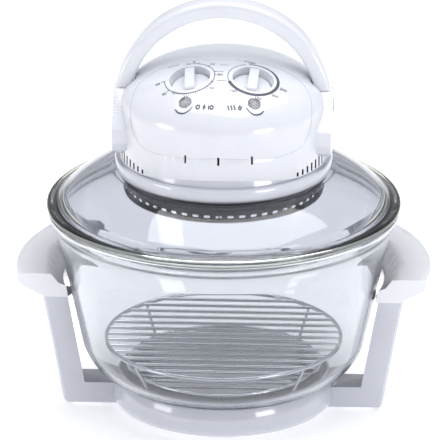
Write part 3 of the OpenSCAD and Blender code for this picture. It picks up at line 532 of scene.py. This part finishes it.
def on_crown(x, y, lift):
    """The point of the crown above (x, y), raised by lift along the surface's normal."""
    z = crown_z(x, y)
    normal = Vector((x / HEAD_R ** 2, y / HEAD_R ** 2, (z - SHOULDER_Z) / CROWN_H ** 2))
    return (Vector((x, y, z)) + normal.normalized() * lift) * MM


def seat(place, tilt, splay, side):
    """Origin and turn of a dial or a lens on one side: -1 is the left one."""
    origin = Vector((side * place[0], place[1], crown_z(*place)))
    turn = (Matrix.Rotation(math.radians(side * splay), 3, "Y")
            @ Matrix.Rotation(math.radians(tilt), 3, "X"))
    return origin, turn


def on_dial(side):
    """A function that lays points of a dial's own plane on the crown, along the dial's axis."""
    origin, turn = seat(DIAL_AT, DIAL_TILT, DIAL_SPLAY, side)
    axis = turn @ Vector((0, 0, 1))
    squash = Vector((1 / HEAD_R, 1 / HEAD_R, 1 / CROWN_H))

    def place(u, v, lift):
        start = origin + turn @ Vector((u, v, 0)) - Vector((0, 0, SHOULDER_Z))
        p, d = start * squash, axis * squash
        a, b, c = d.dot(d), 2 * p.dot(d), p.dot(p) - 1
        hit = start + axis * ((math.sqrt(b * b - 4 * a * c) - b) / (2 * a))
        return on_crown(hit.x, hit.y, lift)
    return place


def beside(x, y):
    """A function that lays small figures on the crown around (x, y)."""
    return lambda u, v, lift: on_crown(x + u, y + v, lift)


def ribbon(bm, path, width, place, width_to=None):
    """A thin raised strip along a flat path. The width runs from width to width_to."""
    closed = (Vector(path[0]) - Vector(path[-1])).length < 1e-6
    points = [Vector(p) for p in (path[:-1] if closed else path)]
    count = len(points)
    rows = []
    for i, point in enumerate(points):
        if closed:
            ahead = points[(i + 1) % count] - points[i - 1]
        else:
            ahead = points[min(i + 1, count - 1)] - points[max(i - 1, 0)]
        wide = width if width_to is None else width + (width_to - width) * i / (count - 1)
        across = Vector((-ahead.y, ahead.x)).normalized() * wide / 2
        left, right = point + across, point - across
        rows.append([bm.verts.new(place(*corner, lift)) for corner, lift
                     in ((left, MARK_TOP), (right, MARK_TOP), (right, MARK_FOOT), (left, MARK_FOOT))])
    steps = list(zip(rows, rows[1:] + rows[:1])) if closed else list(zip(rows, rows[1:]))
    for near, far in steps:
        for k in range(4):
            bm.faces.new((near[k], near[(k + 1) % 4], far[(k + 1) % 4], far[k]))
    if not closed:
        bm.faces.new(rows[0])
        bm.faces.new(rows[-1][::-1])


def ring_arc(a, b):
    """Points of the printed ring round a dial, one for about each 2.5 degrees."""
    return arc(0, 0, RING_R, a, b, round(abs(b - a) / 2.5))


def tick(bm, angle, start, end, width, place):
    """A scale mark of a dial, from radius start to radius end."""
    way = Vector((math.cos(math.radians(angle)), math.sin(math.radians(angle))))
    ribbon(bm, [tuple(way * start), tuple(way * end)], width, place)


# The digits' strokes, in a cell that is 0.6 wide and 1 high. DIGIT_STEP is a cell and its gap.
DIGIT_H, DIGIT_STEP, DIGIT_GAP = 2.8, 0.82, 0.22
STROKES = {
    "0": [[(0.3, 1), (0.08, 0.84), (0, 0.5), (0.08, 0.16), (0.3, 0), (0.52, 0.16), (0.6, 0.5),
           (0.52, 0.84), (0.3, 1)]],
    "1": [[(0.1, 0.78), (0.34, 1), (0.34, 0)]],
    "2": [[(0.02, 0.78), (0.12, 0.96), (0.34, 1), (0.54, 0.88), (0.54, 0.64), (0.3, 0.36), (0, 0.04)],
          [(0, 0.05), (0.6, 0.05)]],
    "3": [[(0.02, 0.86), (0.28, 1), (0.54, 0.86), (0.5, 0.62), (0.22, 0.52)],
          [(0.22, 0.53), (0.54, 0.42), (0.58, 0.18), (0.3, 0), (0.02, 0.12)]],
    "4": [[(0.42, 0), (0.42, 1)], [(0.4, 0.98), (0, 0.32)], [(0, 0.3), (0.62, 0.3)]],
    "5": [[(0.54, 0.96), (0.06, 0.96)], [(0.08, 0.98), (0.04, 0.54)],
          [(0.04, 0.54), (0.32, 0.62), (0.58, 0.4), (0.54, 0.14), (0.28, 0), (0, 0.12)]],
    "6": [[(0.5, 0.96), (0.2, 0.84), (0.02, 0.45), (0.08, 0.1), (0.32, 0), (0.56, 0.14), (0.54, 0.42),
           (0.3, 0.55), (0.06, 0.4)]],
}


def number(bm, text, angle, radius, place):
    """Digits centred at a bearing of the dial, level with the dial's own plane."""
    u = (radius * math.cos(math.radians(angle))
         - (len(text) * DIGIT_STEP - DIGIT_GAP) * DIGIT_H / 2)
    v = radius * math.sin(math.radians(angle)) - DIGIT_H / 2
    for digit in text:
        for stroke in STROKES[digit]:
            ribbon(bm, [(u + x * DIGIT_H, v + y * DIGIT_H) for x, y in stroke], 0.55, place)
        u += DIGIT_STEP * DIGIT_H


def label_line(bm, start, end, place, thick):
    """A line of neutral dashes in place of a small word."""
    shortest, spread, gap = 0.7, 0.9, 0.45
    start, end = Vector(start), Vector(end)
    length = (end - start).length
    at = 0.0
    while at < 0.97:
        to = min(1.0, at + (shortest + spread * random.random()) / length)
        ribbon(bm, [tuple(start.lerp(end, at)), tuple(start.lerp(end, to))], thick, place)
        at = to + gap / length


def finish_marks(bm, name, mat):
    """Makes one piece of the strips in bm."""
    bmesh.ops.recalc_face_normals(bm, faces=bm.faces)
    finish_piece(to_mesh(bm, name), name, "head", mat, (), 30)


random.seed(11)
timer_at, therm_at = on_dial(-1), on_dial(1)

# The thin marks: the timer's ring and ticks, the thin part of the thermostat's ring, most of the
# numbers and the labels in the middle. Bearings are in the dial's own plane, counted from its +X.
fine = bmesh.new()
ribbon(fine, ring_arc(178, 451), 0.72, timer_at)
for k in range(22):
    tick(fine, 228 + 5 * k, RING_R - 1.1, 26 if k % 5 == 1 else 24.9, 0.8, timer_at)
for turn in (13, 43, 70):
    tick(fine, turn, RING_R, 25.6, 0.5, timer_at)
ribbon(fine, ring_arc(112, 203), 0.6, therm_at)
for text, turn, radius in (("50", 215, 29.4), ("40", 262, 27.9), ("30", 316, 28.7), ("20", 0, 28.6),
                           ("10", 43, 28.6), ("0", 82, 27.4)):
    number(fine, text, turn, radius, timer_at)
for text, turn, radius in (("100", 234, 28.2), ("150", 285, 27.6), ("200", 322, 28.6)):
    number(fine, text, turn, radius, therm_at)
for x0, x1, y in ((-1.6, 5.8, -25), (-7.2, 2, -37.4), (-6.8, -1.2, -42.2), (-3.6, 5.4, -52)):
    label_line(fine, (x0, y), (x1, y), beside(0, 0), 0.8)
finish_marks(fine, "dial_fine_marks", GREY_INK)

# The bold marks: the thick part of the thermostat's ring, which thins out as it goes round, the
# end numbers, a few ticks and labels, and the arcs and icons by the lenses
bold = bmesh.new()
band = ring_arc(203, 464)
cut = len(band) * 62 // 100
ribbon(bold, band[:4], 2.9, therm_at, 3.3)
ribbon(bold, band[3:cut + 1], 3.3, therm_at, 2.7)
ribbon(bold, band[cut:], 2.7, therm_at, 0.8)
tick(bold, 177, RING_R, 27, 0.8, timer_at)
number(bold, "60", 180, 30.2, timer_at)
number(bold, "250", 349, 29.6, therm_at)
tick(bold, 215, RING_R, 26.2, 0.8, timer_at)
for turn in (92, 97):
    tick(bold, turn, 22.4, 25.8, 0.7, timer_at)
label_line(bold, (-20.5, 25), (-10.5, 26.2), timer_at, 0.9)
label_line(bold, (-11, 28.5), (0.5, 27.6), therm_at, 1.1)
label_line(bold, (-6, 25.9), (-1, 25.7), therm_at, 0.9)
under = smooth_curve([(-40.8, -78.2), (-38.2, -81.4), (-33.4, -83.6), (-28.6, -83), (-24.8, -80.2)], 8)
ribbon(bold, under, 1.0, beside(0, 0), 0.8)
ribbon(bold, [(-x, y) for x, y in under[::-1]], 0.8, beside(0, 0), 1.0)

# The ribs on the sloping front face of each ear
EAR_TOP, EAR_FALL, EAR_RISE = (-13, 316), -32, -29
RIB_FROM, RIB_TO, RIB_START, RIB_STEP, RIB_WIDE = 97.4, 101.7, 9, 3.1, 0.9


def beside_ear(side):
    """A function that lays ribs on an ear's front face: u across, v down the slope."""
    down = Vector((0, EAR_FALL, EAR_RISE)).normalized()
    out = Vector((0, EAR_RISE, -EAR_FALL)).normalized()
    return lambda u, v, lift: (Vector((side * u, *EAR_TOP)) + down * v + out * lift * 2) * MM


ribs = bmesh.new()
for side in (-1, 1):
    for k in range(10):
        v = RIB_START + RIB_STEP * k
        ribbon(ribs, [(RIB_FROM, v), (RIB_TO, v)], RIB_WIDE, beside_ear(side))
finish_marks(ribs, "ear_ribs", MATS["white_plastic"])


def icon(x, strokes):
    """A small figure of bold strokes at x along the row of the lenses."""
    place = beside(x, -math.sqrt(LENS_ROW_R ** 2 - x * x))
    for stroke in strokes:
        ribbon(bold, stroke, 1.15, place)


icon(-19.8, [arc(0, -0.2, 1.7, 125, 415, 16), [(0, 0.2), (0, 2)]])
icon(-13.9, [[(0.9, 2.1), (-1, 0.1)], [(-1.3, 0.1), (1.3, -0.1)], [(1, -0.1), (-0.9, -2.1)]])
icon(-8.2, [[(-1.5, 1.8), (-1.5, -1.8)], arc(1.3, 0, 1.5, 0, 360, 16)])
for shift in (8.6, 11.4, 14.2):
    icon(shift, [smooth_curve([(0, -2), (0.55, -1), (-0.55, 0.6), (0, 2)], 4)])
icon(19, [arc(0, -1, 1.1, 0, 360, 12), [(0, 0), (0, 2.1)], [(1.5, 1.4), (2.2, 1.4)],
          [(1.5, 0.2), (2.2, 0.2)]])
finish_marks(bold, "dial_bold_marks", INK)

# ---------- lenses ----------


def set_at(mesh, origin, turn):
    """Moves a mesh built in its own frame, in millimetres, to its seat."""
    for vert in mesh.vertices:
        vert.co = (origin + turn @ Vector(vert.co)) * MM
    return mesh


def facet_lens(node_name, side):
    """A clear lens cut in facets over a bright cup."""
    origin, turn = seat(LENS_AT, LENS_TILT, LENS_SPLAY, side)
    bm = bmesh.new()
    for radius, z, count, shift in ((5.95, -1.6, 32, 0), (5.95, 0.5, 32, 0), (4.7, 1.55, 8, 0.5),
                                    (2.5, 2.2, 8, 0), (0.9, 2.35, 8, 0.5)):
        for k in range(count):
            a = 2 * math.pi * (k + shift) / count
            bm.verts.new((radius * math.cos(a), radius * math.sin(a), z))
    hull = bmesh.ops.convex_hull(bm, input=bm.verts)
    bmesh.ops.delete(bm, geom=[v for v in hull["geom_interior"] if isinstance(v, bmesh.types.BMVert)],
                     context="VERTS")
    bmesh.ops.dissolve_limit(bm, angle_limit=math.radians(0.5), verts=bm.verts, edges=bm.edges)
    bmesh.ops.recalc_face_normals(bm, faces=bm.faces)
    facets = set_at(to_mesh(bm, node_name), origin, turn)
    finish_piece(facets, node_name + "_facets", "head", MATS["lens"], (node_name,), 5)
    cup = lathe([(5.95, -1.7), (5.95, -5.9), (3.2, -8), (2.9, -7.8), (5.4, -5.6), (5.6, -1.7)], 48)
    for vert in cup.vertices:
        vert.co /= MM
    finish_piece(set_at(cup, origin, turn), node_name + "_cup", "head", MATS["chrome_wire"],
                 (), 30)


facet_lens("power_lens", -1)
facet_lens("heat_lens", 1)
